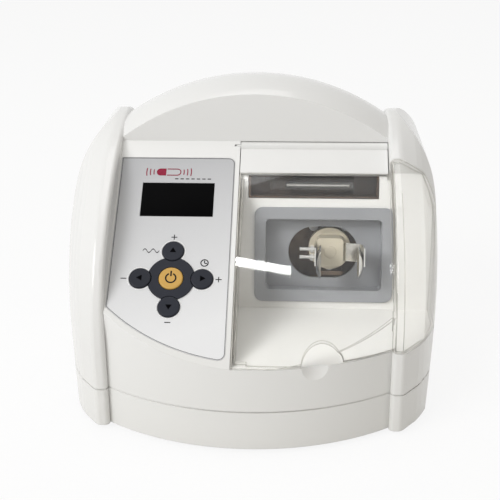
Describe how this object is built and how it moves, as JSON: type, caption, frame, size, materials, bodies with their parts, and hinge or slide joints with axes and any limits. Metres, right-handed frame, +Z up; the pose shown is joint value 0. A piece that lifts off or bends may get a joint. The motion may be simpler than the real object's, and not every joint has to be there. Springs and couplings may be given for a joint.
{
  "type": "dental amalgamator",
  "caption": "Bench mixer with a clear hinged hood over a capsule shaker, a sloping control panel with keys and display, and a moulded two-part case on rubber feet.",
  "frame": {"origin": "on the bench surface, under the middle of the case", "axes": "+X to the operator's right, +Y to the rear, +Z up"},
  "size_m": [0.22, 0.209, 0.1845],
  "materials": {
    "housing_plastic": "glossy moulded ABS, warm white",
    "tub_plastic": "glossy moulded ABS, warm white",
    "clear_plastic": "clear glossy acrylic",
    "strip_plastic": "glossy moulded ABS, white",
    "label_film": "satin silver-grey printed film",
    "display_black": "glossy black window",
    "key_plastic": "semi-gloss dark slate",
    "start_key_plastic": "satin gold",
    "grey_plastic": "satin mid grey",
    "slot_plastic": "smoked dark brown",
    "arm_plastic": "satin cream nylon",
    "spring_steel": "polished spring steel",
    "steel": "turned steel",
    "zinc_sheet": "zinc plated sheet",
    "motor_can": "satin dark can",
    "rubber": "matt black",
    "circuit_board": "green solder mask",
    "component_black": "matt black",
    "copper_core": "lacquered core and winding",
    "black_plastic": "satin black",
    "brass": "bright"
  },
  "bodies": {
    "root": {"upper_housing": "housing_plastic", "lower_housing": "tub_plastic", "hinge_pins": "steel", "control_label": "label_film", "display_window": "display_black", "display_module": "component_black", "keypad_ring": "key_plastic", "control_board": "circuit_board", "board_screws": "steel", "key_switches": "component_black", "mixing_well": "grey_plastic", "capsule_tray": "slot_plastic", "capsule_body": "clear_plastic", "capsule_cap": "clear_plastic", "capsule_pestle": "steel", "motor": "motor_can", "motor_bracket": "zinc_sheet", "motor_screws": "steel", "motor_mounts": "rubber", "rock_pin": "steel", "power_board": "circuit_board", "power_board_screws": "steel", "transformer": "copper_core", "capacitors": "component_black", "power_inlet": "black_plastic", "inlet_pins": "brass", "rocker_frame": "black_plastic", "fuse_holder": "black_plastic", "fuse_cap": "black_plastic", "rubber_feet": "rubber", "case_screws": "steel", "transit_screws": "steel"},
    "hood_body": {"hood": "clear_plastic", "hood_strip": "strip_plastic"},
    "rotor": {"motor_shaft": "steel", "skew_hub": "steel"},
    "arm": {"arm_bearing": "spring_steel", "arm_hub": "arm_plastic", "hub_cap": "arm_plastic", "jaw_screws": "steel", "jaw_nuts": "steel"},
    "left_jaw": {"jaw_left": "spring_steel", "cup_left": "spring_steel"},
    "right_jaw": {"jaw_right": "spring_steel", "cup_right": "spring_steel"},
    "rocker": {"power_rocker": "black_plastic"},
    "key_up_body": {"key_up": "key_plastic"},
    "key_down_body": {"key_down": "key_plastic"},
    "key_left_body": {"key_left": "key_plastic"},
    "key_right_body": {"key_right": "key_plastic"},
    "key_start_body": {"key_start": "start_key_plastic"}
  },
  "joints": [
    {"name": "hood_hinge", "type": "hinge", "parent": "root", "child": "hood_body", "pos_m": [0.0365, 0.011, 0.1456], "axis": [-1, 0, 0], "range_deg": [0, 80]},
    {"name": "motor_spin", "type": "hinge", "parent": "root", "child": "rotor", "pos_m": [0.047, -0.01563, 0.08762], "axis": [0, -0.9751, 0.2217], "continuous": true},
    {"name": "arm_rock", "type": "hinge", "parent": "root", "child": "arm", "pos_m": [0.047, 0.00095, 0.08385], "axis": [0, 0.2217, 0.9751], "range_deg": [-5, 5], "stiffness_Nm_per_rad": 0.2},
    {"name": "left_jaw_flex", "type": "hinge", "parent": "arm", "child": "left_jaw", "pos_m": [0.0387, -0.00881, 0.08607], "axis": [0, -0.2217, -0.9751], "range_deg": [0, 8], "stiffness_Nm_per_rad": 1},
    {"name": "right_jaw_flex", "type": "hinge", "parent": "arm", "child": "right_jaw", "pos_m": [0.0553, -0.00881, 0.08607], "axis": [0, 0.2217, 0.9751], "range_deg": [0, 8], "stiffness_Nm_per_rad": 1},
    {"name": "power_rock", "type": "hinge", "parent": "root", "child": "rocker", "pos_m": [-0.028, 0.0965, 0.042], "axis": [-1, 0, 0], "range_deg": [0, 20]},
    {"name": "key_up_press", "type": "slide", "parent": "root", "child": "key_up_body", "axis": [0, 0.6334, -0.7738], "range_m": [0, 0.001], "stiffness_N_per_m": 300},
    {"name": "key_down_press", "type": "slide", "parent": "root", "child": "key_down_body", "axis": [0, 0.6334, -0.7738], "range_m": [0, 0.001], "stiffness_N_per_m": 300},
    {"name": "key_left_press", "type": "slide", "parent": "root", "child": "key_left_body", "axis": [0, 0.6334, -0.7738], "range_m": [0, 0.001], "stiffness_N_per_m": 300},
    {"name": "key_right_press", "type": "slide", "parent": "root", "child": "key_right_body", "axis": [0, 0.6334, -0.7738], "range_m": [0, 0.001], "stiffness_N_per_m": 300},
    {"name": "key_start_press", "type": "slide", "parent": "root", "child": "key_start_body", "axis": [0, 0.6334, -0.7738], "range_m": [0, 0.001], "stiffness_N_per_m": 300}
  ]
}
